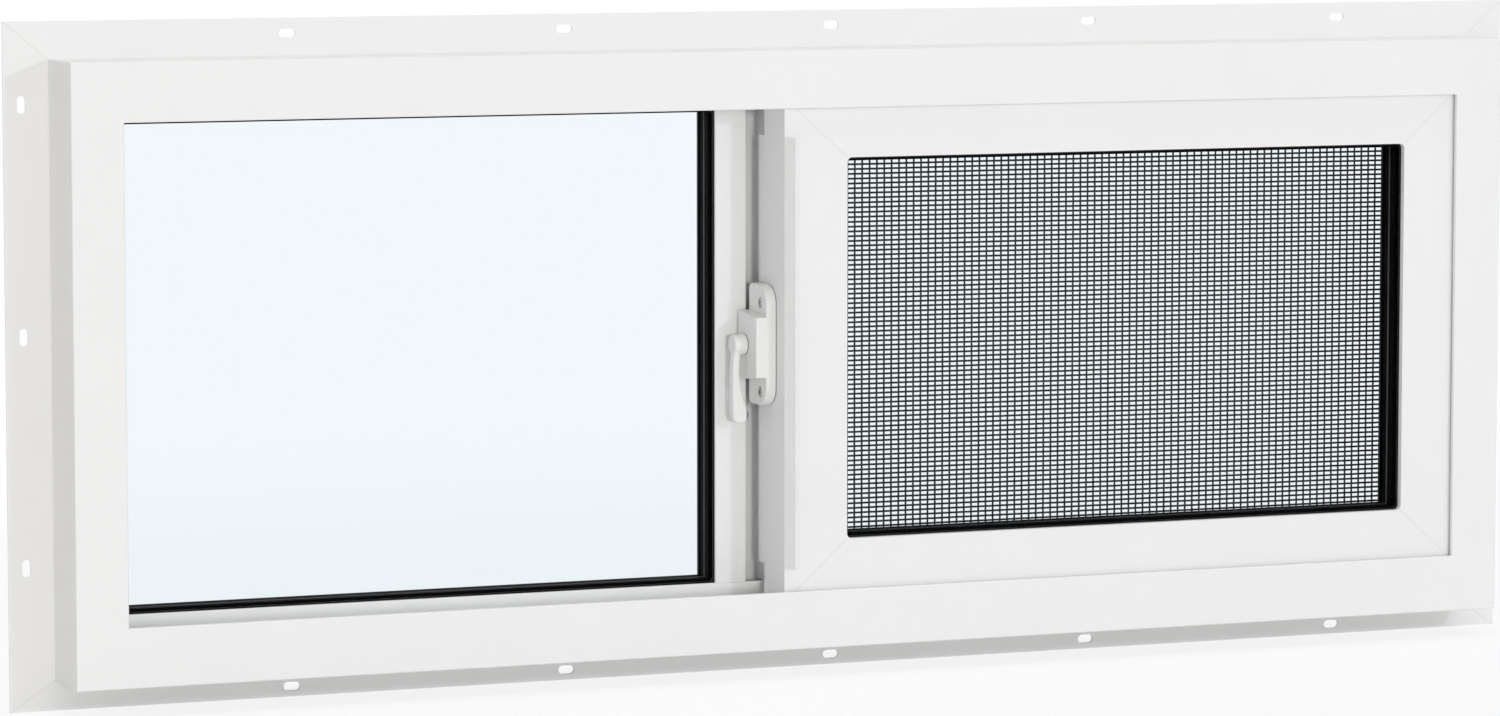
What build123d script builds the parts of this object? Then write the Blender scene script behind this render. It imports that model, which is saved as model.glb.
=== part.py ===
"""Sliding basement window: a white vinyl frame with a nailing fin, one fixed pane and one sliding sash.

The interior side faces -Y. X runs along the window, Z is up. The origin lies on the wall-side face of
the bottom nailing fin, on the window's centre line, a little below the frame's underside.

Sections are drawn as (depth, height): depth runs from the interior face to the exterior, height from
the outer edge of a rectangle towards its middle. The same section is laid along any of the four sides.
"""

import os
from collections import namedtuple

from build123d import *

# Frame
frame_width = 914.4
frame_height = 355.7
frame_depth = 81.0
jamb_face = 31.0
rail_face = 34.5
wall = 2.2
lip = 3.4
lip_round = 0.9
channel = 9.0
rib_thick = 2.0
rib_height = 5.2
step_rise = 1.2
stop_wall = 1.8
pocket_drop = 12.0
web = 3.4
bead_groove_behind = 8.0
bead_groove_width = 2.0
bead_groove_depth = 3.0

# Weep slots in the sill's exterior face
weep_length = 28.0
weep_height = 5.0
weep_from_end = 150.0
weep_lift = 9.0

# Nailing fin
fin_behind = 35.0
fin_thick = 1.6
fin_top = 21.6
fin_bottom = 17.1
fin_left = 26.5
fin_right = 24.7
fin_tongue = 3.6
fin_tongue_step = 0.4
fin_groove_depth = 4.0
fin_groove_play = 0.2
origin_drop = 4.0

# Nailing slots
slot_length = 10.0
slot_width = 5.0
row_slots = 5
row_first = 142.0
row_last = 90.8
side_slots = 3
side_first = 65.6
side_last = 25.5
slot_out_top = 12.8
slot_out_bottom = 11.0
slot_out_left = 16.0
slot_out_right = 15.0

# Sealed glazing units
glass = 3.0
fixed_cavity = 12.5
sightline = 12.7
spacer_show = 2.5
gasket = 1.2
gasket_show = 1.0
gasket_lap = 5.0
rear_gasket = 2.0
block_length = 60.0
block_from_end = 45.0

# Fixed pane
left_stop = 43.8
left_stop_bridge = 1.0
left_stop_foot = 17.0
nose_lead = 27.0
nose_width = 19.9
recess_step = 14.0
core_play = 3.0
mullion_right = 14.6
core_depth = 22.0

# Interlock between the mullion and the sash
hook_wall = 1.8
hook_reach = 2.0
hook_play_side = 1.2
hook_front = 7.0
leg_wall = 2.0
leg_reach = 9.0
leg_hook = 2.4

# Exterior beads
bead_setback = 1.5
bead_depth = 9.0
bead_height = 9.5
bead_left_height = 22.0
bead_slope = 2.5
bead_wall = 1.6
cover_lap = 4.5
cover_right = 2.0

# Sash
sash_width = 454.8
sash_setback = 5.0
sash_clear = 11.0
sash_rail = 36.5
sash_stile = 40.5
sash_lap = 6.8
sash_wall = 2.0
sash_flange = 4.0
sash_corner = 3.0
roller_slot = 12.0
roller_slot_depth = 14.0
rib_play = 1.5
sash_bead_height = 11.2
sash_bead_depth = 5.8
sash_edge = 0.6

# Finger pull on the meeting stile
pull_gap_bottom = 20.3
pull_gap_top = 24.0
pull_lean = 4.6
pull_reach = 7.0
pull_thick = 2.8

# Rollers
roller_radius = 5.0
roller_width = 4.0
axle_radius = 1.5
carrier_length = 34.0
carrier_width = 11.6
carrier_wall = 1.6
carrier_play = 1.0
roller_from_end = 85.0
roller_play = 0.2

# Lock on the meeting stile
lock_raise = 1.8
lock_height = 72.2
lock_depth = 28.0
lock_plate = 6.5
lock_front_round = 12.0
lock_back_round = 3.0
lock_rim_round = 1.4
case_height = 41.5
case_taper = 3.0
case_lower = 0.8
case_depth = 6.6
screw_spacing = 53.0
screw_lower = 1.2
screw_behind = 18.0
screw_head = 3.4
screw_sink = 1.6
boss_radius = 6.2
boss_length = 8.5
boss_behind = 10.0
boss_round = 1.6
spindle_radius = 3.0
spindle_seat = 1.0
lever_width = 5.0
lever_forward = 1.5
lever_round = 0.8
lever_rise = 4.0
lever_drop = 46.5
lever_ease = 0.8
lever_bow = 0.7
lever_bow_at = 20.0
lever_root = 1.6
lever_waist = 4.4
lever_waist_at = 24.0
lever_flare = 1.4
lever_corner = 2.0
lever_heel = 5.0
cam_thick = 2.6
cam_width = 12.0
cam_round = 3.0
cam_engage = 1.2
keeper_length = 34.0
keeper_thick = 3.2
keeper_side = 1.0
keeper_slot = 0.6
keeper_end_play = 1.0

# Pile weatherstrips behind the lips
pile_width = 4.0
pile_inset = 1.6
pile_end = 1.5

# Insect screen
screen_bar = 16.0
screen_thick = 8.6
screen_play = 0.4
screen_side_play = 0.6
spline_width = 3.6
spline_depth = 4.4
spline_in = 9.4
mesh_thick = 0.4
grid_across = 12
grid_up = 8
grid_bar = 6.0
screen_wall = 1.0

# How far a cut passes the faces that it opens
cut_over = 1.0

Rect = namedtuple("Rect", "left right bottom top")
SIDES = ("top", "bottom", "left", "right")


def shrink(rect, left, right=None, bottom=None, top=None):
    """Rectangle moved inwards by an amount on each side."""
    right = left if right is None else right
    bottom = left if bottom is None else bottom
    top = left if top is None else top
    return Rect(rect.left + left, rect.right - right, rect.bottom + bottom, rect.top - top)


def inset(rect, side_amount, rail_amount):
    """Rectangle moved inwards by one amount on its uprights and another on its rails."""
    return shrink(rect, side_amount, side_amount, rail_amount, rail_amount)


def block(x_from, x_to, d_from, d_to, z_from, z_to):
    """Box from its limits, with the depths counted from the interior face."""
    size = (x_to - x_from, d_to - d_from, z_to - z_from)
    return Pos(x_from, d_from - fin_setback, z_from) * Box(*size, align=(Align.MIN,) * 3)


def ring(outer, inner, d_from, d_to, corner=0.0):
    """Flat rectangular ring between two rectangles."""
    body = block(outer.left, outer.right, d_from, d_to, outer.bottom, outer.top)
    return body - panel(inner, d_from - cut_over, d_to + cut_over, corner)


def panel(rect, d_from, d_to, corner=0.0):
    """Rectangular panel, with rounded corners if asked."""
    wide, tall = rect.right - rect.left, rect.top - rect.bottom
    shape = RectangleRounded(wide, tall, corner) if corner else Rectangle(wide, tall)
    centre = ((rect.left + rect.right) / 2, d_to - fin_setback, (rect.bottom + rect.top) / 2)
    return extrude(Plane(centre, x_dir=(1, 0, 0), z_dir=(0, -1, 0)) * shape, amount=d_to - d_from)


def area(points):
    """Closed outline through points."""
    return make_face(Polyline(*points, close=True))


def hollow(d_from, d_to, h_from, h_to):
    """Rectangle in a section, for a chamber."""
    return Pos((d_from + d_to) / 2, (h_from + h_to) / 2) * Rectangle(d_to - d_from, h_to - h_from)


def soften(section, corners, radius):
    """Section with the named corners rounded."""
    picked = [section.vertices().sort_by_distance((d, h, 0))[0] for d, h in corners]
    return fillet(picked, radius)


def side_plane(side, rect):
    """Plane at the start of a side, with depth along its x and inwards along its y, and the length."""
    y = -fin_setback
    starts = {
        "bottom": ((rect.left, y, rect.bottom), (1, 0, 0), rect.right - rect.left),
        "top": ((rect.right, y, rect.top), (-1, 0, 0), rect.right - rect.left),
        "left": ((rect.left, y, rect.top), (0, 0, -1), rect.top - rect.bottom),
        "right": ((rect.right, y, rect.bottom), (0, 0, 1), rect.top - rect.bottom),
    }
    start, along, length = starts[side]
    return Plane(start, x_dir=(0, 1, 0), z_dir=along), length


def wedge(side, outer, inner, stretch=1.5):
    """Prism that keeps one side of a mitred rectangle. The mitres run through both sets of corners."""
    deep = Rect(*(o + (i - o) * stretch for o, i in zip(outer, inner)))
    ends = {
        "bottom": (("left", "bottom"), ("right", "bottom")),
        "top": (("left", "top"), ("right", "top")),
        "left": (("left", "bottom"), ("left", "top")),
        "right": (("right", "bottom"), ("right", "top")),
    }
    first, last = ends[side]
    outline = [(getattr(outer, x), getattr(outer, z)) for x, z in (first, last)]
    outline += [(getattr(deep, x), getattr(deep, z)) for x, z in (last, first)]
    return extrude(Plane.XZ * area(outline), amount=2 * frame_depth, both=True)


def mitred(section, side, outer, inner):
    """Bar of one section along a side of a rectangle, with mitred ends."""
    plane, length = side_plane(side, outer)
    return extrude(plane * section, amount=length) & wedge(side, outer, inner)


# Depths from the interior face
fin_setback = frame_depth - fin_behind
bead_groove_at = frame_depth - bead_groove_behind
bead_back = frame_depth - bead_setback
bead_at = bead_back - bead_depth
fixed_back = bead_at - rear_gasket
fixed_glass_at = fixed_back - fixed_cavity - 2 * glass
step_at = fixed_glass_at - gasket - stop_wall
sash_back = step_at - sash_clear
sash_unit_back = sash_back - sash_bead_depth - rear_gasket
sash_glass_at = sash_setback + sash_flange + gasket
rib_at = (sash_setback + sash_back) / 2
lock_back = sash_back + leg_reach
lock_front = lock_back - lock_depth
screw_at = lock_back - screw_behind
boss_at = lock_back - boss_behind

# Rectangles that the pieces share
base = origin_drop
FRAME = Rect(-frame_width / 2, frame_width / 2, base, base + frame_height)
OPENING = inset(FRAME, jamb_face, rail_face)
POCKET = shrink(OPENING, -pocket_drop)
FIN = shrink(FRAME, -fin_left, -fin_right, -fin_bottom, -fin_top)
SASH_RIGHT = OPENING.right + sash_lap
SASH = Rect(SASH_RIGHT - sash_width, SASH_RIGHT, OPENING.bottom - sash_lap, OPENING.top + sash_lap)
SASH_OPENING = inset(SASH, sash_stile, sash_rail)
SASH_UNIT = shrink(SASH_OPENING, spacer_show - sightline)
sash_pocket = sightline - spacer_show + core_play
SASH_POCKET = shrink(SASH_OPENING, -sash_pocket)

# The mullion's places along X, from the sash's meeting edge
nose_left = SASH.left - nose_lead
nose_right = nose_left + nose_width
mullion_edge = SASH.left + mullion_right
STEP = shrink(OPENING, step_rise)
FIXED_SIGHT = Rect(FRAME.left + left_stop, nose_left, STEP.bottom, STEP.top)
FIXED_UNIT = shrink(FIXED_SIGHT, spacer_show - sightline)
core_left = FIXED_UNIT.right + core_play
BEAD_INNER = shrink(POCKET, bead_left_height, bead_height, bead_height, bead_height)


def frame_section(face):
    """Hollow frame profile: lip, track with its rib, step, glazing pocket and both grooves."""
    floor, pocket, step = face - channel, face - pocket_drop, face + step_rise
    rib_from, rib_to = rib_at - rib_thick / 2, rib_at + rib_thick / 2
    groove_to = bead_groove_at + bead_groove_width
    fin_from = fin_setback + fin_tongue_step
    fin_to = fin_setback + fin_thick + fin_groove_play
    section = area([
        (0, 0), (0, face), (lip, face), (lip, floor),
        (rib_from, floor), (rib_from, floor + rib_height), (rib_to, floor + rib_height), (rib_to, floor),
        (step_at, floor), (step_at, step), (step_at + stop_wall, step), (step_at + stop_wall, pocket),
        (bead_groove_at, pocket), (bead_groove_at, pocket - bead_groove_depth),
        (groove_to, pocket - bead_groove_depth), (groove_to, pocket),
        (frame_depth, pocket), (frame_depth, 0),
        (fin_to, 0), (fin_to, fin_groove_depth), (fin_from, fin_groove_depth), (fin_from, 0),
    ])
    section = soften(section, [(0, 0), (0, face), (lip, face), (step_at, step)], lip_round)
    section -= hollow(wall, rib_at - wall / 2, wall, floor - wall)
    section -= hollow(rib_at + wall / 2, fin_setback - web, wall, floor - wall)
    section -= hollow(fin_to + web, bead_groove_at - wall, wall, pocket - wall)
    return section - hollow(bead_groove_at, frame_depth - wall, wall, pocket - bead_groove_depth - wall)


def frame_members():
    """Head, sill and jambs, mitred at the corners, with weep slots through the sill's back."""
    parts = {}
    names = {"top": "frame_head", "bottom": "frame_sill", "left": "frame_jamb_left", "right": "frame_jamb_right"}
    for side, name in names.items():
        face = rail_face if side in ("top", "bottom") else jamb_face
        parts[name] = mitred(frame_section(face), side, FRAME, OPENING)
    for x in (FRAME.left + weep_from_end, FRAME.right - weep_from_end):
        outside = Plane((x, fin_behind + wall, FRAME.bottom + weep_lift), x_dir=(1, 0, 0), z_dir=(0, -1, 0))
        parts["frame_sill"] -= extrude(outside * SlotOverall(weep_length, weep_height), amount=3 * wall)
    return parts


def nail_fins():
    """Four slotted fins, each with a tongue in the frame's groove."""
    widths = dict(top=fin_top, bottom=fin_bottom, left=fin_left, right=fin_right)
    outs = dict(top=slot_out_top, bottom=slot_out_bottom, left=slot_out_left, right=slot_out_right)
    row_pitch = (frame_width - row_first - row_last) / (row_slots - 1)
    side_pitch = (frame_height - side_first - side_last) / (side_slots - 1)
    row = [FRAME.left + row_first + n * row_pitch for n in range(row_slots)]
    column = [FRAME.bottom + side_first + n * side_pitch for n in range(side_slots)]
    centres = {
        "top": [(x, FRAME.top + outs["top"]) for x in row],
        "bottom": [(x, FRAME.bottom - outs["bottom"]) for x in row],
        "left": [(FRAME.left - outs["left"], z) for z in column],
        "right": [(FRAME.right + outs["right"], z) for z in column],
    }
    parts = {}
    for side in SIDES:
        width, back = widths[side], fin_setback + fin_thick
        section = hollow(fin_setback, back, 0, width)
        section += hollow(fin_setback + fin_tongue_step, back, width, width + fin_tongue)
        fin = mitred(section, side, FIN, FRAME)
        turn = 0 if side in ("top", "bottom") else 90
        slot = Rot(0, 0, turn) * SlotOverall(slot_length, slot_width)
        for x, z in centres[side]:
            fin -= extrude(Plane.XZ * Pos(x, z) * slot, amount=2 * fin_thick, both=True)
        parts[f"nail_fin_{side}"] = fin
    return parts


def mullion():
    """Upright between the two halves: a nose in front of the fixed glass, a recess and an interlock hook."""
    back = step_at + core_depth
    recess = step_at + recess_step
    hook_right = SASH.left + leg_wall + hook_play_side + hook_reach + hook_wall
    hook_wall_left = hook_right - hook_wall
    tip_left = hook_wall_left - hook_reach
    tip_front = step_at - hook_front
    outline = [
        (nose_left, step_at), (nose_right, step_at), (nose_right, recess), (hook_wall_left, recess),
        (hook_wall_left, tip_front + hook_wall), (tip_left, tip_front + hook_wall), (tip_left, tip_front),
        (hook_right, tip_front), (hook_right, recess), (mullion_edge, recess), (mullion_edge, back),
        (core_left, back), (core_left, step_at + stop_wall), (nose_left, step_at + stop_wall),
    ]
    section = soften(area(outline), [(nose_left, step_at), (nose_right, step_at)], lip_round)
    chamber_x = (core_left + wall + mullion_edge - wall) / 2
    chamber = Rectangle(mullion_edge - core_left - 2 * wall, back - recess - 2 * wall)
    section -= Pos(chamber_x, (recess + back) / 2) * chamber
    nose_chamber = Rectangle(nose_right - core_left - 2 * hook_wall, recess_step - hook_wall)
    section -= Pos((core_left + nose_right) / 2, (step_at + hook_wall + recess) / 2) * nose_chamber
    shown = Pos(0, -fin_setback, STEP.bottom) * extrude(section, amount=STEP.top - STEP.bottom)
    core = hollow(core_left, mullion_edge, recess, back) - Pos(chamber_x, (recess + back) / 2) * chamber
    tall = Pos(0, -fin_setback, POCKET.bottom) * extrude(core, amount=POCKET.top - POCKET.bottom)
    return {"fixed_mullion": shown + tall}


def jamb_stop():
    """Stop that carries the fixed glass edge out of the left jamb's pocket."""
    pocket, step = POCKET.left - FRAME.left, STEP.left - FRAME.left
    leg_from = step_at + stop_wall
    leg_to = leg_from + wall
    foot_to = leg_from + left_stop_foot
    bridge = step + left_stop_bridge
    section = area([
        (step_at, step), (step_at, left_stop), (leg_from, left_stop), (leg_from, bridge), (leg_to, bridge),
        (leg_to, pocket + wall), (foot_to - wall, pocket + wall), (foot_to - wall, step - wall),
        (foot_to, step - wall), (foot_to, pocket), (leg_from, pocket), (leg_from, step),
    ])
    section = soften(section, [(step_at, left_stop)], lip_round)
    plane, length = side_plane("left", FRAME)
    return {"fixed_jamb_stop": extrude(plane * section, amount=length) & panel(
        Rect(FRAME.left, FRAME.right, STEP.bottom, STEP.top), 0, frame_depth)}


def exterior_beads():
    """Beads on the exterior side of the pocket, and the cover on the mullion's back."""
    leg = bead_groove_depth - fin_groove_play
    parts = {}
    for side in SIDES:
        height = bead_left_height if side == "left" else bead_height
        body = area([
            (bead_at, 0), (bead_at, height), (bead_back - bead_slope, height),
            (bead_back, height - bead_slope), (bead_back, 0),
        ])
        body -= hollow(bead_at + bead_wall, bead_back - bead_wall, bead_wall, height - bead_slope - bead_wall)
        plane, length = side_plane(side, POCKET)
        snap = hollow(bead_groove_at, bead_groove_at + bead_groove_width, -leg, 0)
        bar = mitred(body, side, POCKET, BEAD_INNER)
        parts[f"exterior_bead_{side}"] = bar + extrude(plane * snap, amount=length)
    cover_left = nose_left + cover_lap
    cover_edge = mullion_edge + cover_right
    cover = block(cover_left, cover_edge, bead_at, bead_back, BEAD_INNER.bottom, BEAD_INNER.top)
    cover = chamfer(cover.faces().sort_by(Axis.Y)[-1].edges().filter_by(Axis.Z), bead_slope)
    spine = block(core_left + wall, mullion_edge - wall, step_at + core_depth, bead_at,
                  BEAD_INNER.bottom, BEAD_INNER.top)
    parts["mullion_cover"] = cover + spine
    return parts


def glazing_unit(name, unit, sight, front, back):
    """Two panes, the spacer between them and the gaskets on both faces."""
    seen = shrink(sight, gasket_show)
    hidden = shrink(sight, -gasket_lap)
    inner_gasket = ring(hidden, seen, front - gasket, front, sash_corner)
    outer_gasket = ring(unit, shrink(sight, spacer_show), back, back + rear_gasket)
    return {
        f"{name}_glass_inner": panel(unit, front, front + glass),
        f"{name}_glass_outer": panel(unit, back - glass, back),
        f"{name}_spacer": ring(unit, shrink(unit, sightline), front + glass, back - glass),
        f"{name}_gasket": Compound(children=[inner_gasket, outer_gasket]),
    }


def setting_blocks():
    """Blocks under both glazing units."""
    solids = []
    for unit, floor, front, back in (
        (FIXED_UNIT, POCKET.bottom, fixed_glass_at, fixed_back),
        (SASH_UNIT, SASH_POCKET.bottom, sash_glass_at, sash_unit_back),
    ):
        for x in (unit.left + block_from_end, unit.right - block_from_end - block_length):
            solids.append(block(x, x + block_length, front, back, floor, unit.bottom))
    return {"setting_blocks": Compound(children=solids)}


def sash_section(width, slotted=True):
    """Hollow sash profile: interior flange, glazing pocket and, but for the meeting stile, a track slot."""
    front, back, pocket = sash_setback, sash_back, width - sash_pocket
    slot_from, slot_to = rib_at - roller_slot / 2, rib_at + roller_slot / 2
    outline = [(front, 0), (front, width), (front + sash_flange, width), (front + sash_flange, pocket), (back, pocket)]
    outline += [(back, 0)]
    if slotted:
        outline += [(slot_to, 0), (slot_to, roller_slot_depth), (slot_from, roller_slot_depth), (slot_from, 0)]
    section = soften(area(outline), [(front, 0), (front, width), (front + sash_flange, width)], sash_edge)
    upper = roller_slot_depth + sash_wall
    section -= hollow(front + sash_wall, back - sash_wall, upper, pocket - sash_wall)
    if slotted:
        section -= hollow(front + sash_wall, slot_from - sash_wall, sash_wall, roller_slot_depth)
        return section - hollow(slot_to + sash_wall, back - sash_wall, sash_wall, roller_slot_depth)
    return section - hollow(front + sash_wall, back - sash_wall, sash_wall, roller_slot_depth)


def sash_members():
    """Rails and stiles of the sash, mitred, with the rounded corners of the glass opening."""
    parts = {}
    corners = ring(SASH, SASH_OPENING, sash_setback, sash_setback + sash_flange, sash_corner)
    names = {"top": "sash_top_rail", "bottom": "sash_bottom_rail",
             "left": "sash_meeting_stile", "right": "sash_jamb_stile"}
    for side, name in names.items():
        width = sash_rail if side in ("top", "bottom") else sash_stile
        bar = mitred(sash_section(width, side != "left"), side, SASH, SASH_OPENING)
        flange = corners & wedge(side, SASH, SASH_OPENING)
        parts[name] = bar + (flange & panel(shrink(SASH_OPENING, -sash_corner), 0, frame_depth))
    stile = parts["sash_meeting_stile"] + finger_pull() + interlock_leg()
    parts["sash_meeting_stile"] = stile - rib_notches()
    return parts


def rib_notches():
    """Notches at both ends of the meeting stile, where the ribs of the sill and the head pass."""
    half = rib_thick / 2 + rib_play
    tall = rib_height + rib_play
    x_to = SASH.left + sash_stile
    low = OPENING.bottom - channel
    high = OPENING.top + channel
    x_from = SASH.left - cut_over
    notches = block(x_from, x_to, rib_at - half, rib_at + half, low, low + tall)
    return notches + block(x_from, x_to, rib_at - half, rib_at + half, high - tall, high)


def upright(outline, z_from, z_to):
    """Upright bar from an outline in plan, with X from the sash's meeting edge."""
    moved = [(SASH.left + x, d) for x, d in outline]
    return Pos(0, -fin_setback, z_from) * extrude(area(moved), amount=z_to - z_from)


def finger_pull():
    """Leaning lip in front of the meeting stile, trimmed short of the head and sill."""
    along = Vector(pull_lean, -pull_reach).normalized()
    across = Vector(-along.Y, along.X) * pull_thick
    tip = Vector(pull_lean, sash_setback - pull_reach)
    far = tip + across
    root = far - along * ((far.Y - sash_setback) / along.Y)
    lip_bar = upright(
        [(0, sash_setback + sash_edge), (0, sash_setback), (tip.X, tip.Y), (far.X, far.Y), (root.X, sash_setback),
         (root.X, sash_setback + sash_edge)],
        SASH.bottom + pull_gap_bottom, SASH.top - pull_gap_top)
    edges = lip_bar.edges().filter_by(Axis.Z).sort_by(Axis.Y)[:2]
    return fillet(edges, sash_edge)


def interlock_leg():
    """Leg behind the meeting stile, with the hook that passes behind the mullion's hook."""
    outer = sash_back + leg_reach
    return upright(
        [(0, sash_back - sash_wall), (0, outer), (leg_wall + leg_hook, outer), (leg_wall + leg_hook, outer - hook_wall),
         (leg_wall, outer - hook_wall), (leg_wall, sash_back - sash_wall)],
        SASH.bottom + pull_gap_bottom, SASH.top - pull_gap_top)


def sash_beads():
    """Beads that hold the sash's glass from the exterior."""
    section = hollow(sash_back - sash_bead_depth, sash_back, 0, sash_bead_height)
    inner = shrink(SASH_POCKET, sash_bead_height)
    return {f"sash_bead_{side}": mitred(section, side, SASH_POCKET, inner) for side in SIDES}


def rollers():
    """Two wheels on the sill's rib, each in a carrier inside the bottom rail."""
    carriers, wheels = [], []
    rib_top = OPENING.bottom - channel + rib_height
    axle_z = rib_top + roller_radius
    top = SASH.bottom + roller_slot_depth
    low = SASH.bottom + sash_wall
    half = carrier_width / 2
    gap = half - carrier_wall
    well = roller_radius + carrier_play
    for x in (SASH.left + roller_from_end, SASH.right - roller_from_end):
        shell = block(x - carrier_length / 2, x + carrier_length / 2, rib_at - half, rib_at + half, low, top)
        shell -= block(x - well, x + well, rib_at - gap, rib_at + gap, low, top)
        shell -= block(x - carrier_length, x + carrier_length, rib_at - rib_thick, rib_at + rib_thick, low,
                       rib_top + carrier_play)
        axis = Plane((x, rib_at - fin_setback, axle_z), x_dir=(1, 0, 0), z_dir=(0, -1, 0))
        bore = extrude(axis * Circle(axle_radius + roller_play / 2), amount=half, both=True)
        carriers.append(shell - bore)
        wheel = extrude(axis * Circle(roller_radius), amount=roller_width / 2, both=True)
        wheel = chamfer(wheel.edges().filter_by(GeomType.CIRCLE), sash_edge)
        wheels.append(wheel + extrude(axis * Circle(axle_radius), amount=half, both=True))
    return {"roller_carriers": Compound(children=carriers), "sash_rollers": Compound(children=wheels)}


def lock_plane(x):
    """Plane facing the fixed side at a distance from the meeting stile, centred on the lock."""
    centre_z = (SASH.bottom + SASH.top) / 2 + lock_raise
    return Plane((SASH.left - x, -fin_setback, centre_z), x_dir=(0, 1, 0), z_dir=(-1, 0, 0))


def lock():
    """Cam lock: plate and case in one casting, lever on its spindle, cam and keeper."""
    outline = Pos((lock_front + lock_back) / 2, 0) * Rectangle(lock_depth, lock_height)
    front = outline.vertices().group_by(Axis.X)[0]
    outline = fillet(front, lock_front_round)
    back = outline.vertices().group_by(Axis.X)[-1]
    outline = fillet(back, lock_back_round)
    body = extrude(lock_plane(0) * outline, amount=lock_plate)
    rim = body.faces().sort_by(Axis.X)[0].edges().sort_by(Axis.Y)[:-3]
    body = fillet(rim, lock_rim_round)
    low = case_lower + case_height / 2
    high = case_lower - case_height / 2
    case = area([(lock_front, high + case_taper), (lock_back, high), (lock_back, low), (lock_front, low - case_taper)])
    case = extrude(lock_plane(lock_plate / 2) * case, amount=lock_plate / 2 + case_depth)
    body += fillet(case.faces().sort_by(Axis.X)[0].edges().sort_by(Axis.Y)[:-1], sash_edge)
    for side in (-1, 1):
        drop = screw_lower + side * screw_spacing / 2
        sink = lock_plane(lock_plate - screw_sink) * Pos(screw_at, drop) * Circle(screw_head)
        body -= extrude(sink, amount=lock_plate)
    spindle_hole = lock_plane(lock_plate) * Pos(boss_at, 0) * Circle(spindle_radius + roller_play)
    body -= extrude(spindle_hole, amount=case_depth + cut_over)
    return {"lock_case": body, "lock_lever": lock_lever(), "lock_cam": lock_cam(), "lock_keeper": lock_keeper()}


def lock_lever():
    """Lever that hangs from a round boss, waisted in the middle and flared at its end."""
    face = lock_plate + case_depth
    boss = extrude(lock_plane(face) * Pos(boss_at, 0) * Circle(boss_radius), amount=boss_length)
    boss = fillet(boss.faces().sort_by(Axis.X)[0].edges(), boss_round)
    seat = lock_plate + spindle_seat
    spindle = extrude(lock_plane(seat) * Pos(boss_at, 0) * Circle(spindle_radius), amount=case_depth)
    outer_x = -(face + boss_length)
    outside = ThreePointArc((outer_x + lever_ease, lever_rise), (outer_x - lever_bow, -lever_bow_at),
                            (outer_x, lever_corner - lever_drop))
    inside = Spline((-face - lever_root, lever_rise), (-face - lever_waist, -lever_waist_at),
                    (-face + lever_flare, lever_heel - lever_drop))
    end = ThreePointArc(outside @ 1, (outer_x + lever_heel, -lever_drop), inside @ 1)
    strip = make_face(Curve() + [outside, end, inside, Line(inside @ 0, outside @ 0)])
    centre_z = (SASH.bottom + SASH.top) / 2 + lock_raise
    back_y = boss_at - lever_forward + lever_width / 2 - fin_setback
    arm = extrude(Plane((SASH.left, back_y, centre_z), x_dir=(1, 0, 0), z_dir=(0, -1, 0)) * strip, amount=lever_width)
    arm = fillet(arm.faces().sort_by(Axis.Y)[0].edges(), lever_round)
    return boss + spindle + arm


def lock_cam():
    """Flat cam tongue that reaches from the case into the keeper."""
    tip = step_at + recess_step - keeper_thick + cam_engage
    tongue = hollow(lock_back, tip, -cam_width / 2, cam_width / 2)
    tongue = fillet(tongue.vertices().group_by(Axis.X)[-1], cam_round)
    return extrude(lock_plane((lock_plate - cam_thick) / 2) * tongue, amount=cam_thick)


def lock_keeper():
    """Slotted keeper in the mullion's recess."""
    recess = step_at + recess_step
    centre_z = (SASH.bottom + SASH.top) / 2 + lock_raise
    left, right = nose_right, SASH.left - keeper_side
    plate = block(left, right, recess - keeper_thick, recess, centre_z - keeper_length / 2,
                  centre_z + keeper_length / 2)
    x_from = SASH.left - lock_plate / 2 - cam_thick / 2 - keeper_slot
    slot_half = cam_width / 2 + keeper_end_play
    slot = block(x_from, x_from + cam_thick + 2 * keeper_slot, recess - keeper_thick, recess,
                 centre_z - slot_half, centre_z + slot_half)
    return plate - slot


def weatherstrips():
    """Pile strips behind the lips of the head, the sill and the right jamb."""
    run = shrink(OPENING, -pile_inset - pile_width)
    edge = shrink(OPENING, -pile_inset)
    x_from = SASH.left + sash_stile
    d_to = sash_setback
    strips = [
        block(x_from, edge.right - pile_end, lip, d_to, edge.top, run.top),
        block(x_from, edge.right - pile_end, lip, d_to, run.bottom, edge.bottom),
        block(edge.right, run.right, lip, d_to, edge.bottom + pile_end, edge.top - pile_end),
    ]
    return {"pile_weatherstrips": Compound(children=strips)}


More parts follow.
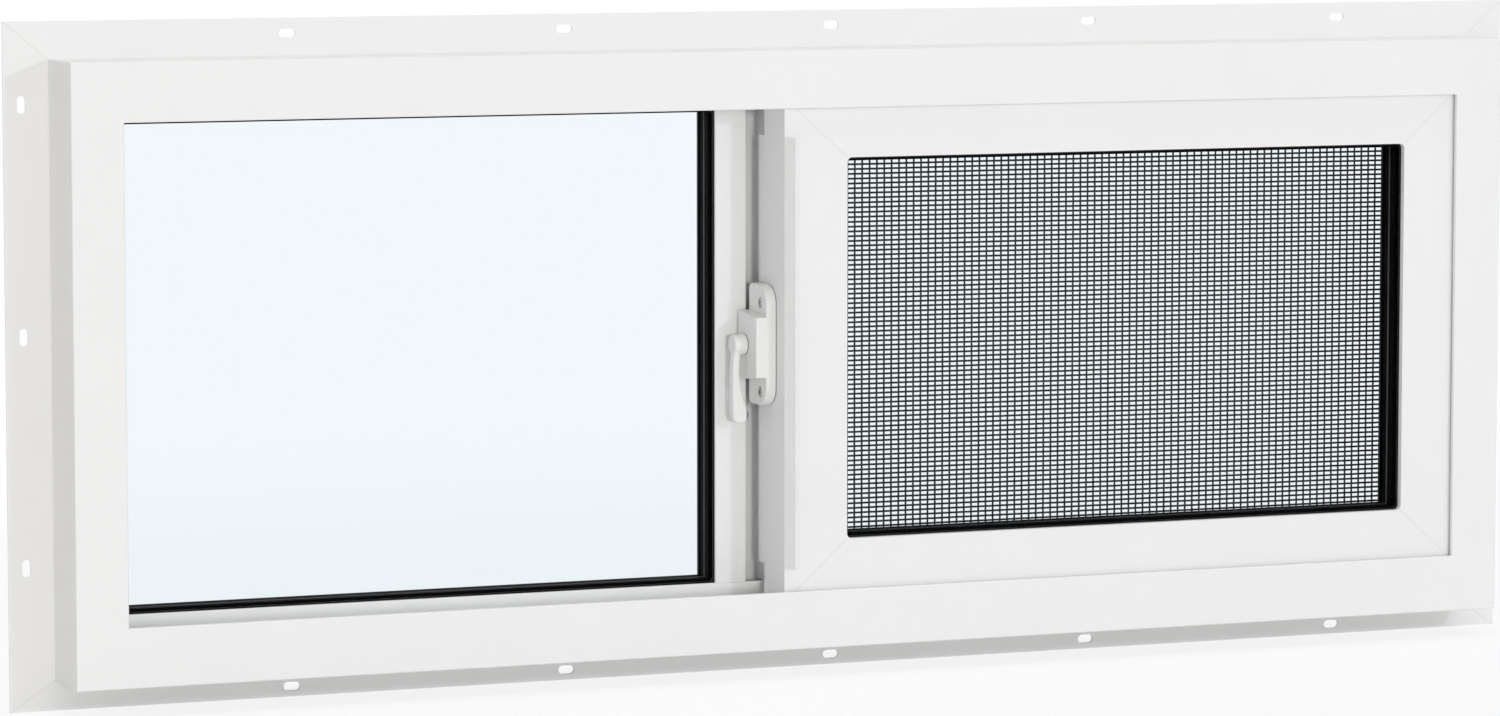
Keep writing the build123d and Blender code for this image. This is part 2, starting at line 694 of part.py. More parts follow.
def insect_screen():
    """Screen in the exterior pocket of the sliding half: four bars, spline and mesh sheet."""
    rect = Rect(mullion_edge + screen_side_play, POCKET.right - screen_side_play,
                POCKET.bottom + screen_play, POCKET.top - screen_play)
    inner = shrink(rect, screen_bar)
    back = bead_at - screen_play
    front = back - screen_thick
    groove_to = spline_in + spline_width
    section = area([
        (front, 0), (front, spline_in), (front + spline_depth, spline_in), (front + spline_depth, groove_to),
        (front, groove_to), (front, screen_bar), (back, screen_bar), (back, 0),
    ])
    section -= hollow(front + spline_depth + screen_wall, back - screen_wall, screen_wall, screen_bar - screen_wall)
    parts = {}
    for side in SIDES:
        parts[f"screen_bar_{side}"] = mitred(section, side, rect, inner)
    cord_outer, cord_inner = shrink(rect, spline_in), shrink(rect, groove_to)
    parts["screen_spline"] = ring(cord_outer, cord_inner, front - mesh_thick, front + spline_depth)
    sheet = panel(cord_inner, front - mesh_thick, front)
    cell_x = (cord_inner.right - cord_inner.left - grid_bar) / grid_across
    cell_z = (cord_inner.top - cord_inner.bottom - grid_bar) / grid_up
    middle = Plane.XZ.offset(fin_setback - front) * Pos(
        (cord_inner.left + cord_inner.right) / 2, (cord_inner.bottom + cord_inner.top) / 2)
    grid = GridLocations(cell_x, cell_z, grid_across, grid_up)
    openings = [middle * place * Rectangle(cell_x - grid_bar, cell_z - grid_bar) for place in grid]
    parts["screen_mesh"] = sheet - [extrude(hole, amount=2 * mesh_thick, both=True) for hole in openings]
    return parts


def build():
    """Every piece of the window, by name."""
    parts = {}
    parts.update(frame_members())
    parts.update(nail_fins())
    parts.update(mullion())
    parts.update(jamb_stop())
    parts.update(exterior_beads())
    parts.update(glazing_unit("fixed", FIXED_UNIT, FIXED_SIGHT, fixed_glass_at, fixed_back))
    parts.update(glazing_unit("sash", SASH_UNIT, SASH_OPENING, sash_glass_at, sash_unit_back))
    parts.update(setting_blocks())
    parts.update(sash_members())
    parts.update(sash_beads())
    parts.update(rollers())
    parts.update(lock())
    parts.update(weatherstrips())
    parts.update(insect_screen())
    return parts


os.makedirs("parts", exist_ok=True)
for node, shape in build().items():
    export_step(shape, f"parts/{node}.step")
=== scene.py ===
"""Looks of a sliding basement window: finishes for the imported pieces, the insect screen's woven strands,
the weatherstrips' pile, the lock's screws, and a plain studio round it."""

import math

import bpy
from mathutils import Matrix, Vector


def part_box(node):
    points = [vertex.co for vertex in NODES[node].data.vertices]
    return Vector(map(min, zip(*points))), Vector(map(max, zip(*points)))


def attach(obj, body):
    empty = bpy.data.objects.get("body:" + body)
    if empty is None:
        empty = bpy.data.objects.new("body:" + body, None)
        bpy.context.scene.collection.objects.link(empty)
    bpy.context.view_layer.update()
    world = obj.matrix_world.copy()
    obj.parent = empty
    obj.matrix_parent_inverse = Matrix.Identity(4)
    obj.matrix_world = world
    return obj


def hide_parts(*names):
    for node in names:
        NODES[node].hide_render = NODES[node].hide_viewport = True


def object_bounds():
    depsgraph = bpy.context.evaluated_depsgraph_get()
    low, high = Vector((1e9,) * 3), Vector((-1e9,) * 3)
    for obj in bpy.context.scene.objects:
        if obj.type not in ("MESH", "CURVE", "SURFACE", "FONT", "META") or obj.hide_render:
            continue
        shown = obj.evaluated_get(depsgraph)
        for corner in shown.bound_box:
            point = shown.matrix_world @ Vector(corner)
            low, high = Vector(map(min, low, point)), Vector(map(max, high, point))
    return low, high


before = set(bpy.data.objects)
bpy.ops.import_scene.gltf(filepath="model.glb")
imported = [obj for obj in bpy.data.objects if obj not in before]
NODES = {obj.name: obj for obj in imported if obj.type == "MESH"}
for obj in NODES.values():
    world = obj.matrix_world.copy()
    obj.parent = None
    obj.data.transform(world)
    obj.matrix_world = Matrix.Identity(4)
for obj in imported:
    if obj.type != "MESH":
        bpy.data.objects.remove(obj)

bl_info = {
    "name": "Sliding basement window",
    "version": (1, 0, 0),
    "blender": (4, 5, 0),
    "location": "3D View > Sidebar > Window",
    "description": "Finishes, screen strands, pile, screws and studio for the packed window",
    "category": "Object",
}

MM = 0.001
CAD_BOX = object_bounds()
FLOAT = "NodeSocketFloat"
WHOLE = "NodeSocketInt"
MATERIAL = "NodeSocketMaterial"

# Colours of the finishes that a user wouldn't change
SPACER_BLACK = (0.003, 0.003, 0.0033)
# Colour of the spacer's painted highlight line
SPACER_HIGHLIGHT = (0.13, 0.13, 0.135)
GASKET_BLACK = (0.004, 0.004, 0.0045)
BLOCK_BLACK = (0.05, 0.05, 0.05)
SPLINE_BLACK = (0.03, 0.03, 0.03)
YARN_BLACK = (0.012, 0.013, 0.015)
PILE_GREY = (0.4, 0.4, 0.4)
NYLON = (0.8, 0.8, 0.78)
ZINC = (0.6, 0.6, 0.59)

# Seams, painted contact shadows at the lock's feet and painted highlight lines are full up to their core
# and gone at their edge
SEAM_CORE, SEAM_EDGE = 0.10 * MM, 0.34 * MM
SEAM_SHADE, SEAM_STAIN, SEAM_DEPTH = 0.55, 0.3, 3.0
# Painted contact shadow where the lock's case meets the sash and its lever meets the case
FOOT_SHADOW_CORE, FOOT_SHADOW_EDGE = 0.35 * MM, 0.8 * MM
FOOT_SHADOW_DARK, FOOT_SHADOW_STRENGTH = 0.12, 0.8
HIGHLIGHT_CORE, HIGHLIGHT_EDGE = 0.5 * MM, 1.1 * MM

# How far the sash's lip covers its glass, how much duller the fin is, and the shade of the screen's bars
GLASS_COVERED = 10.2 * MM
FIN_DULLER = 0.08
SCREEN_BAR_SHADE = 0.97

# How steeply a pane's mirror image grows with the slant, and its most
MIRROR_POWER, MIRROR_MOST = 5, 0.9

# Screws, tufts and strands, with angles in radians
SCREW_TURNS = (0.35, 1.0)
SCREW_SIDES = 32
SCREW_RIM_SHARE, SCREW_BAR_SHARE = 0.4, 0.24
STRAND_SIDES = 5
TUFT_SIDES = 5
TUFT_LEAN, TUFT_SPIN = 0.3, 6.28
TUFT_SHORT, TUFT_LONG = 0.8, 0.98
TUFT_TIP_SHARE = 0.2
SLACK_SCALE, SLACK_GAIN = 55.0, 4
LEVEL_SEED_STEP = 20

# Studio, in metres and degrees, with the lens and its sensor in millimetres
WHITE = (1.0, 1.0, 1.0)
WARM = (1.0, 0.986, 0.967)
COOL = (0.85, 0.93, 1.0)
FLOOR_REACH = 14.0
SHADOW_CLEAR, SHADOW_GONE = 0.7, 2.0
SHADOW_DEPTH_SHARE = 2.2
WHITE_NEAR = 0.82
KEY_PLACE = (1.06, -2.7, 0.92)
FRONT_FILL = {"height": 4.0, "side": -7.0, "spread": 8.0}
BACK_FILL = {"height": 28.0, "side": 195.0, "spread": 50.0}
TOP_FILL = {"height": 84.0, "side": -7.0, "spread": 30.0}
CAMERA_PLACE = (-1.3542, -3.217, 0.502)
CAMERA_DOWN, CAMERA_RIGHT = 5.38, 22.42
CAMERA_LENS, CAMERA_SENSOR = 140.4, 36.0
CAMERA_NEAR, CAMERA_FAR = 0.05, 60.0


class Flow:
    """A value in a node tree, on which Python's operators add Math nodes."""

    def __init__(self, graph, socket):
        self.graph = graph
        self.socket = socket

    def __add__(self, other):
        return self.graph.number("ADD", self, other)

    def __sub__(self, other):
        return self.graph.number("SUBTRACT", self, other)

    def __rsub__(self, other):
        return self.graph.number("SUBTRACT", other, self)

    def __mul__(self, other):
        return self.graph.number("MULTIPLY", self, other)

    def __truediv__(self, other):
        return self.graph.number("DIVIDE", self, other)

    def __rtruediv__(self, other):
        return self.graph.number("DIVIDE", other, self)

    def __pow__(self, other):
        return self.graph.number("POWER", self, other)

    def __abs__(self):
        return self.graph.number("ABSOLUTE", self)

    __radd__ = __add__
    __rmul__ = __mul__

    def cosine(self):
        return self.graph.number("COSINE", self)

    def least(self, other):
        return self.graph.number("MINIMUM", self, other)

    def most(self, other):
        return self.graph.number("MAXIMUM", self, other)

    def fade(self, low, high):
        """1 at low or below, falling smoothly to 0 at high."""
        settings = {"interpolation_type": "SMOOTHSTEP"}
        return self.graph.add("ShaderNodeMapRange", settings, [self, low, high, 1.0, 0.0])

    def shown(self, name):
        """Another output of the same node."""
        outputs = [s for s in self.socket.node.outputs if s.name == name and s.enabled]
        return Flow(self.graph, outputs[0])


class Graph:
    """A node tree that is written one node at a time."""

    def __init__(self, tree):
        self.tree = tree
        tree.nodes.clear()

    def add(self, kind, settings=None, values=()):
        """Adds a node, sets its settings first and then its sockets, by place or by name."""
        node = self.tree.nodes.new(kind)
        for name, value in (settings or {}).items():
            setattr(node, name, value)
        pairs = values.items() if isinstance(values, dict) else enumerate(values)
        for key, value in pairs:
            socket = self.socket(node, key)
            if isinstance(value, Flow):
                self.tree.links.new(value.socket, socket)
            elif socket.type == "RGBA" and len(value) == 3:
                socket.default_value = (*value, 1.0)
            else:
                socket.default_value = value
        outputs = [s for s in node.outputs if s.enabled]
        return Flow(self, outputs[0]) if outputs else None

    @staticmethod
    def socket(node, key):
        if isinstance(key, int):
            return node.inputs[key]
        found = [s for s in node.inputs if s.name == key and s.enabled]
        if not found:
            raise KeyError(f"{node.bl_idname} has no socket {key}")
        return found[0]

    def number(self, operation, *values):
        return self.add("ShaderNodeMath", {"operation": operation}, values)

    def vector(self, x, y, z):
        return self.add("ShaderNodeCombineXYZ", {}, [x, y, z])

    def mixed(self, amount, first, second):
        """Colour between two others."""
        values = {"Factor": amount, "A": first, "B": second}
        return self.add("ShaderNodeMix", {"data_type": "RGBA"}, values)

    def seen_plainly(self):
        """1 for rays that look at the background straight, in a mirror or through glass."""
        rays = self.add("ShaderNodeLightPath")
        seen = rays.shown("Is Camera Ray").most(rays.shown("Is Glossy Ray"))
        return seen.most(rays.shown("Is Transmission Ray"))


class Finish(Graph):
    """A material's tree, with the object's own coordinates in metres."""

    def __init__(self, name):
        old = bpy.data.materials.get(name)
        if old:
            bpy.data.materials.remove(old)
        self.material = bpy.data.materials.new(name)
        self.material.use_nodes = True
        super().__init__(self.material.node_tree)
        self.place = self.add("ShaderNodeTexCoord").shown("Object")
        parts = self.add("ShaderNodeSeparateXYZ", {}, [self.place])
        self.x, self.y, self.z = parts, parts.shown("Y"), parts.shown("Z")

    def grain(self, scale, detail=3.0, stretch=(1, 1, 1)):
        """Noise from 0 to 1, drawn out along an axis by a small number in stretch."""
        where = self.add("ShaderNodeMapping", {}, {"Vector": self.place, "Scale": stretch})
        return self.add("ShaderNodeTexNoise", {}, {"Vector": where, "Scale": scale, "Detail": detail})

    def bump(self, height, strength, distance):
        values = {"Strength": strength, "Distance": distance, "Height": height}
        return self.add("ShaderNodeBump", {}, values)

    def surface(self, **sockets):
        """Principled surface, with the socket names' spaces written as underscores."""
        values = {name.replace("_", " "): value for name, value in sockets.items()}
        return self.close(self.add("ShaderNodeBsdfPrincipled", {}, values))

    def close(self, shader):
        self.add("ShaderNodeOutputMaterial", {}, {"Surface": shader})
        return self.material


def shade(colour, amount):
    """A colour made lighter or darker."""
    return tuple(min(1.0, c * amount) for c in colour)


def vinyl(name, colour, along, roughness, seam=None):
    """White vinyl: faint die lines along the profile, soft clouding, and mitre seams where asked."""
    finish = Finish(name)
    lengths = {"x": (0.02, 1, 1), "z": (1, 1, 0.02)}
    lines = finish.grain(scale=900.0, detail=2.0, stretch=lengths[along])
    clouds = finish.grain(scale=14.0, detail=4.0)
    skin = finish.grain(scale=2600.0, detail=2.0)
    tone = finish.mixed(clouds, shade(colour, 0.975), shade(colour, 1.012))
    height = lines * 0.6 + skin * 0.25
    # Half of the noises' spread comes off, so that the mean stays at roughness
    rough = clouds * 0.08 + lines * 0.06 + (roughness - 0.07)
    if seam:
        groove = seam(finish).fade(SEAM_CORE, SEAM_EDGE)
        tone = finish.mixed(groove * SEAM_STAIN, tone, shade(colour, SEAM_SHADE))
        height = height - groove * SEAM_DEPTH
    normal = finish.bump(height, strength=0.14, distance=0.05 * MM)
    return finish.surface(
        Base_Color=tone, Roughness=rough, Normal=normal, IOR=1.5, Specular_IOR_Level=0.42)


def mitre_seams(outer, inner):
    """Distance from the four mitres between two rectangles, each (left, right, bottom, top) in metres."""
    def distance(finish):
        nearest = None
        for side in (0, 1):
            for end in (2, 3):
                start = (outer[side], outer[end])
                run = (inner[side] - outer[side], inner[end] - outer[end])
                length = math.hypot(*run)
                right, up = finish.x - start[0], finish.z - start[1]
                across = right * (run[1] / length) - up * (run[0] / length)
                along = right * (run[0] / length) + up * (run[1] / length)
                gap = abs(across).most(abs(along - length / 2) - length / 2)
                nearest = gap if nearest is None else nearest.least(gap)
        return nearest
    return distance


def pane(name, tint):
    """Clear float glass: a faint tint, and a mirror image that grows at a slant."""
    finish = Finish(name)
    waves = finish.grain(scale=5.0, detail=1.0)
    through = finish.add("ShaderNodeBsdfTransparent", {}, {"Color": tint})
    normal = finish.bump(waves, strength=0.04, distance=1.0 * MM)
    mirror = {"Color": WHITE, "Roughness": 0.015, "Normal": normal}
    shine = finish.add("ShaderNodeBsdfAnisotropic", {}, mirror)
    slant = finish.add("ShaderNodeLayerWeight", {}, {"Blend": 0.5}).shown("Facing")
    sheen = slant ** MIRROR_POWER * MIRROR_MOST
    return finish.close(finish.add("ShaderNodeMixShader", {}, [sheen, through, shine]))


def rubber(name, colour, roughness, gloss=0.35, line=None):
    """Dark rubber or spacer with a fine matt skin, and a painted highlight line round it at a depth where
    asked.
    """
    finish = Finish(name)
    skin = finish.grain(scale=1200.0, detail=4.0)
    bloom = finish.grain(scale=45.0, detail=3.0)
    tone = finish.mixed(bloom, shade(colour, 0.8), shade(colour, 1.6))
    if line is not None:
        # Painted highlight: a paler line round the piece at the given depth
        painted_highlight = abs(finish.y - line).fade(HIGHLIGHT_CORE, HIGHLIGHT_EDGE)
        tone = finish.mixed(painted_highlight, tone, SPACER_HIGHLIGHT)
    normal = finish.bump(skin, strength=0.25, distance=0.08 * MM)
    rough = bloom * 0.12 + (roughness - 0.06)
    return finish.surface(Base_Color=tone, Roughness=rough, Normal=normal, Specular_IOR_Level=gloss)


def enamel(name, colour, foot):
    """White enamel over a zinc casting: soft orange peel, a thin coat, and a painted contact shadow as a
    dark line at its foot.
    """
    finish = Finish(name)
    peel = finish.grain(scale=420.0, detail=2.0)
    clouds = finish.grain(scale=60.0, detail=3.0)
    tone = finish.mixed(clouds, shade(colour, 0.965), shade(colour, 1.01))
    # Painted contact shadow: a dark line where the piece meets the part behind it
    foot_shadow = (foot - finish.x).fade(FOOT_SHADOW_CORE, FOOT_SHADOW_EDGE)
    tone = finish.mixed(foot_shadow * FOOT_SHADOW_STRENGTH, tone, shade(colour, FOOT_SHADOW_DARK))
    normal = finish.bump(peel, strength=0.18, distance=0.12 * MM)
    rough = clouds * 0.08 + 0.33
    return finish.surface(
        Base_Color=tone, Roughness=rough, Normal=normal, Coat_Weight=0.15, Coat_Roughness=0.2)


def plated(name, colour, roughness):
    """Zinc-plated steel: mottled crystals and fine brushing."""
    finish = Finish(name)
    crystals = finish.grain(scale=700.0, detail=5.0)
    brushing = finish.grain(scale=3000.0, detail=2.0, stretch=(1, 1, 0.05))
    tone = finish.mixed(crystals, shade(colour, 0.8), shade(colour, 1.1))
    rough = crystals * 0.14 + brushing * 0.1 + (roughness - 0.12)
    normal = finish.bump(brushing, strength=0.2, distance=0.03 * MM)
    return finish.surface(Base_Color=tone, Metallic=1.0, Roughness=rough, Normal=normal)


def moulded(name, colour):
    """Nylon with a light satin grain."""
    finish = Finish(name)
    skin = finish.grain(scale=1500.0, detail=3.0)
    tone = finish.mixed(finish.grain(scale=90.0), shade(colour, 0.94), colour)
    normal = finish.bump(skin, strength=0.2, distance=0.06 * MM)
    return finish.surface(Base_Color=tone, Roughness=skin * 0.2 + 0.4, Normal=normal)


def tufts(name, colour):
    """Siliconised pile: grey fibres with a lighter fleck."""
    finish = Finish(name)
    fibres = finish.grain(scale=2400.0, detail=2.0, stretch=(1, 1, 0.2))
    tone = finish.mixed(fibres, shade(colour, 0.6), shade(colour, 1.4))
    normal = finish.bump(fibres, strength=0.4, distance=0.1 * MM)
    return finish.surface(Base_Color=tone, Roughness=fibres * 0.2 + 0.7, Normal=normal)


def painted_bar(name, colour):
    """Roll-formed aluminium with baked paint: long faint roll lines."""
    finish = Finish(name)
    rolls = finish.grain(scale=500.0, detail=2.0, stretch=(0.05, 1, 0.05))
    clouds = finish.grain(scale=20.0)
    tone = finish.mixed(clouds, shade(colour, 0.97), shade(colour, 1.01))
    normal = finish.bump(rolls, strength=0.15, distance=0.05 * MM)
    return finish.surface(Base_Color=tone, Roughness=rolls * 0.12 + 0.32, Normal=normal)


def strand_coating(name, colour):
    """Black coated yarn: a soft sheen that breaks up along each strand."""
    finish = Finish(name)
    coat = finish.grain(scale=900.0, detail=3.0)
    tone = finish.mixed(coat, shade(colour, 0.7), shade(colour, 1.9))
    normal = finish.bump(coat, strength=0.3, distance=0.06 * MM)
    return finish.surface(Base_Color=tone, Roughness=coat * 0.2 + 0.45, Normal=normal)


def studio_floor(name, colour):
    """Pale floor that keeps the window's shadow near it and turns plain white further out."""
    finish = Finish(name)
    specks = finish.grain(scale=30.0)
    tone = finish.mixed(specks, shade(colour, 0.992), colour)
    seen = finish.seen_plainly()
    reach = ((finish.x * finish.x) + (finish.y * finish.y) * SHADOW_DEPTH_SHARE) ** 0.5
    far = 1.0 - reach.fade(SHADOW_CLEAR, SHADOW_GONE) * (1.0 - WHITE_NEAR)
    ground = finish.add("ShaderNodeBsdfDiffuse", {}, {"Color": tone})
    white = finish.add("ShaderNodeEmission", {}, {"Color": WHITE, "Strength": 1.0})
    return finish.close(finish.add("ShaderNodeMixShader", {}, [far * seen, ground, white]))


def rectangle(nodes):
    """Left, right, bottom and top of some nodes together, in metres."""
    lows, highs = zip(*(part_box(name) for name in nodes))
    left, right = min(low.x for low in lows), max(high.x for high in highs)
    bottom, top = min(low.z for low in lows), max(high.z for high in highs)
    return left, right, bottom, top


def dress(names, material):
    """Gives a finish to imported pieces."""
    for name in names:
        for slot in NODES[name].material_slots:
            slot.material = material


def named(*starts):
    """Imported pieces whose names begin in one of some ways."""
    return [n for n in NODES if n.startswith(starts)]


class FinishSettings(bpy.types.PropertyGroup):
    """Colours and gloss of the window's finishes."""

    vinyl: bpy.props.FloatVectorProperty(
        name="Vinyl", description="Colour of the white vinyl", default=(0.866, 0.866, 0.866),
        subtype="COLOR", size=3, min=0.0, max=1.0)
    vinyl_roughness: bpy.props.FloatProperty(
        name="Vinyl roughness", description="Roughness of the vinyl's skin", default=0.38,
        min=0.1, max=0.9, subtype="FACTOR")
    glass: bpy.props.FloatVectorProperty(
        name="Glass tint", description="What one face of a pane lets through",
        default=(0.968, 0.984, 0.992), subtype="COLOR", size=3, min=0.0, max=1.0)
    enamel: bpy.props.FloatVectorProperty(
        name="Lock enamel", description="Colour of the lock", default=(0.83, 0.83, 0.82),
        subtype="COLOR", size=3, min=0.0, max=1.0)


class ScreenSettings(bpy.types.PropertyGroup):
    """Weave of the insect screen."""

    pitch_x: bpy.props.FloatProperty(
        name="Pitch along", description="Spacing of the upright strands", default=4.85 * MM, unit="LENGTH",
        min=1 * MM, max=10 * MM, precision=5)
    pitch_z: bpy.props.FloatProperty(
        name="Pitch up", description="Spacing of the level strands", default=2.9 * MM, unit="LENGTH",
        min=1 * MM, max=10 * MM, precision=5)
    strand: bpy.props.FloatProperty(
        name="Strand", description="Diameter of a strand", default=1.3 * MM, unit="LENGTH", min=0.1 * MM,
        max=2 * MM, precision=5)
    wave: bpy.props.FloatProperty(
        name="Weave", description="How far a strand swings over and under", default=0.3 * MM,
        unit="LENGTH", min=0.0, max=1 * MM, precision=5)
    pressed: bpy.props.FloatProperty(
        name="Pressed", description="Share of its thickness that the weave keeps", default=0.6,
        min=0.1, max=1.0, subtype="FACTOR")
    slack: bpy.props.FloatProperty(
        name="Slack", description="How far a strand strays from straight", default=0.04 * MM,
        unit="LENGTH", min=0.0, max=1 * MM, precision=5)
    seed: bpy.props.IntProperty(name="Seed", description="Choice of the strands' strays", default=7)


class ScrewSettings(bpy.types.PropertyGroup):
    """Two screws of the lock."""

    radius: bpy.props.FloatProperty(
        name="Head radius", description="Radius of a screw's head", default=3.15 * MM, unit="LENGTH",
        min=1 * MM, max=3.3 * MM, precision=5)
    height: bpy.props.FloatProperty(
        name="Head height", description="Height of a screw's head", default=1.9 * MM, unit="LENGTH",
        min=0.5 * MM, max=3 * MM, precision=5)
    recess: bpy.props.FloatProperty(
        name="Recess", description="Length of one bar of the cross recess", default=3.7 * MM, unit="LENGTH",
        min=1 * MM, max=5 * MM, precision=5)
    seat: bpy.props.FloatProperty(
        name="Seat", description="Height of the sinks' floors over the lock plate's back",
        default=4.9 * MM, unit="LENGTH", min=0.0, max=7 * MM, precision=5)
    behind: bpy.props.FloatProperty(
        name="Behind", description="Distance of the screws from the plate's rear edge",
        default=18.0 * MM, unit="LENGTH", min=0.0, max=28 * MM, precision=5)
    spacing: bpy.props.FloatProperty(
        name="Spacing", description="Distance between the two screws", default=53.0 * MM, unit="LENGTH",
        min=20 * MM, max=64 * MM, precision=5)
    lower: bpy.props.FloatProperty(
        name="Lower", description="How far the screws' middle is below the plate's middle",
        default=1.2 * MM, unit="LENGTH", min=0.0, max=5 * MM, precision=5)


class PileSettings(bpy.types.PropertyGroup):
    """Fibres of the weatherstrips."""

    spacing: bpy.props.FloatProperty(
        name="Spacing", description="Distance between tufts", default=0.9 * MM, unit="LENGTH",
        min=0.3 * MM, max=5 * MM, precision=5)
    fibre: bpy.props.FloatProperty(
        name="Tuft", description="Thickness of a tuft at its foot", default=0.8 * MM, unit="LENGTH",
        min=0.1 * MM, max=2 * MM, precision=5)
    backing: bpy.props.FloatProperty(
        name="Backing", description="Thickness of the ribbon that holds the tufts", default=0.4 * MM,
        unit="LENGTH", min=0.1 * MM, max=1 * MM, precision=5)
    width: bpy.props.FloatProperty(
        name="Width", description="Width of a strip", default=4.0 * MM, unit="LENGTH",
        min=1 * MM, max=8 * MM, precision=5)
    corner_gap: bpy.props.FloatProperty(
        name="Corner gap", description="Gap between two strips at a corner", default=1.5 * MM,
        unit="LENGTH", min=0.0, max=5 * MM, precision=5)
    seed: bpy.props.IntProperty(name="Seed", description="Choice of the tufts' lean", default=3)


class StudioSettings(bpy.types.PropertyGroup):
    """Floor, lamps and background."""

    floor: bpy.props.FloatVectorProperty(
        name="Floor", description="Colour of the floor", default=(0.93, 0.93, 0.93),
        subtype="COLOR", size=3, min=0.0, max=1.0)
    ambient: bpy.props.FloatProperty(
        name="Ambient", description="Strength of the even light", default=0.48, min=0.0, max=2.0)
    key: bpy.props.FloatProperty(
        name="Key", description="Power of the main lamp", default=4.6, unit="POWER", min=0.0, max=1000.0)
    fill: bpy.props.FloatProperty(
        name="Fill", description="Strength of the soft light from in front", default=0.75, min=0.0, max=5.0)
    back: bpy.props.FloatProperty(
        name="Back", description="Strength of the soft light from behind", default=0.6, min=0.0, max=5.0)
    top: bpy.props.FloatProperty(
        name="Top", description="Strength of the soft light from above", default=0.8, min=0.0, max=5.0)
    key_radius: bpy.props.FloatProperty(
        name="Key radius", description="Radius of the main lamp", default=0.08, unit="LENGTH",
        min=0.01, max=2.0)


def piece(name, mesh, material):
    """New piece that rides on the window, with its finish."""
    obj = bpy.data.objects.new(name, mesh)
    bpy.context.scene.collection.objects.link(obj)
    if material.name not in mesh.materials:
        mesh.materials.append(material)
    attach(obj, "root")
    return obj


class Recipe(Graph):
    """A geometry tree with named inputs."""

    def __init__(self, name, inputs):
        tree = bpy.data.node_groups.new(name, "GeometryNodeTree")
        super().__init__(tree)
        tree.interface.new_socket(name="Geometry", in_out="OUTPUT", socket_type="NodeSocketGeometry")
        for label, (kind, value) in inputs.items():
            socket = tree.interface.new_socket(name=label, in_out="INPUT", socket_type=kind)
            if kind != MATERIAL:
                socket.default_value = value
        self.values = {label: value for label, (_, value) in inputs.items()}
        self.entry = self.add("NodeGroupInput")

    def given(self, label):
        return self.entry.shown(label)

    def position(self, axis):
        place = self.add("GeometryNodeInputPosition")
        return self.add("ShaderNodeSeparateXYZ", {}, [place]).shown(axis)

    def moved(self, shape, away, turned=(0.0, 0.0, 0.0)):
        if any(isinstance(value, Flow) for value in away):
            away = self.vector(*away)
        values = {"Geometry": shape, "Translation": away, "Rotation": turned}
        return self.add("GeometryNodeTransform", {}, values)

    def shifted(self, shape, x=0.0, y=0.0, z=0.0):
        """Moves each point by its own values."""
        values = {"Geometry": shape, "Offset": self.vector(x, y, z)}
        return self.add("GeometryNodeSetPosition", {}, values)

    def joined(self, shapes):
        whole = self.add("GeometryNodeJoinGeometry")
        for shape in shapes:
            self.tree.links.new(shape.socket, whole.socket.node.inputs[0])
        return whole

    def finish(self, shape, material):
        """Ends the tree with real geometry that has its finish."""
        real = self.add("GeometryNodeRealizeInstances", {}, [shape])
        done = self.add("GeometryNodeSetMaterial", {}, {"Geometry": real, "Material": material})
        self.add("NodeGroupOutput", {}, [done])

    def mesh(self, name):
        """Plain mesh of what the tree makes."""
        carrier = bpy.data.objects.new(name, bpy.data.meshes.new(name))
        bpy.context.scene.collection.objects.link(carrier)
        modifier = carrier.modifiers.new(name, "NODES")
        modifier.node_group = self.tree
        for item in self.tree.interface.items_tree:
            if item.in_out == "INPUT" and item.name in self.values:
                modifier[item.identifier] = self.values[item.name]
        view = carrier.evaluated_get(bpy.context.evaluated_depsgraph_get())
        mesh = bpy.data.meshes.new_from_object(view)
        mesh.name = name
        bpy.data.objects.remove(carrier)
        return mesh


def strands(recipe, low, high, upright):
    """Parallel strands over a rectangle, with a point at each crossing, where they pass over or under."""
    wide, tall = high[0] - low[0], high[2] - low[2]
    middle = (low[1] + high[1]) / 2
    columns = recipe.number("ROUND", wide / recipe.given("Pitch X"))
    rows = recipe.number("ROUND", tall / recipe.given("Pitch Z"))
    step_x, step_z = wide / columns, tall / rows
    first = recipe.vector(step_x * 0.5 + low[0], middle, step_z * 0.5 + low[2])
    if upright:
        last = recipe.vector(step_x * 0.5 + low[0], middle, high[2] - step_z * 0.5)
        across, along, offset = columns, rows, recipe.vector(step_x, 0.0, 0.0)
    else:
        last = recipe.vector(high[0] - step_x * 0.5, middle, step_z * 0.5 + low[2])
        across, along, offset = rows, columns, recipe.vector(0.0, 0.0, step_z)
    line = recipe.add("GeometryNodeCurvePrimitiveLine", {}, {"Start": first, "End": last})
    line = recipe.add("GeometryNodeResampleCurve", {}, {"Curve": line, "Count": along})
    spots = recipe.add("GeometryNodeMeshLine", {"mode": "OFFSET"}, {"Count": across, "Offset": offset})
    laid = recipe.add("GeometryNodeInstanceOnPoints", {}, {"Points": spots, "Instance": line})
    laid = recipe.add("GeometryNodeRealizeInstances", {}, [laid])
    place = recipe.add("GeometryNodeInputPosition")
    parts = recipe.add("ShaderNodeSeparateXYZ", {}, [place])
    crossing = (parts - low[0]) / step_x + (parts.shown("Z") - low[2]) / step_z
    swing = (crossing * math.pi).cosine() * recipe.given("Weave") * (1 if upright else -1)
    seed = recipe.given("Seed") + (0 if upright else LEVEL_SEED_STEP)
    noise = recipe.add("ShaderNodeTexNoise", {"noise_dimensions": "4D"}, {
        "Vector": place, "W": seed, "Scale": SLACK_SCALE, "Detail": 1.0})
    stray = (noise - 0.5) * recipe.given("Slack") * SLACK_GAIN
    laid = recipe.shifted(laid, stray, swing) if upright else recipe.shifted(laid, 0.0, swing, stray)
    ring = recipe.add("GeometryNodeCurvePrimitiveCircle", {}, {
        "Resolution": STRAND_SIDES, "Radius": recipe.given("Strand") * 0.5})
    yarns = recipe.add("GeometryNodeCurveToMesh", {}, {
        "Curve": laid, "Profile Curve": ring, "Fill Caps": True})
    sunk = (middle - recipe.position("Y")) * (1.0 - recipe.given("Pressed"))
    return recipe.shifted(yarns, y=sunk)


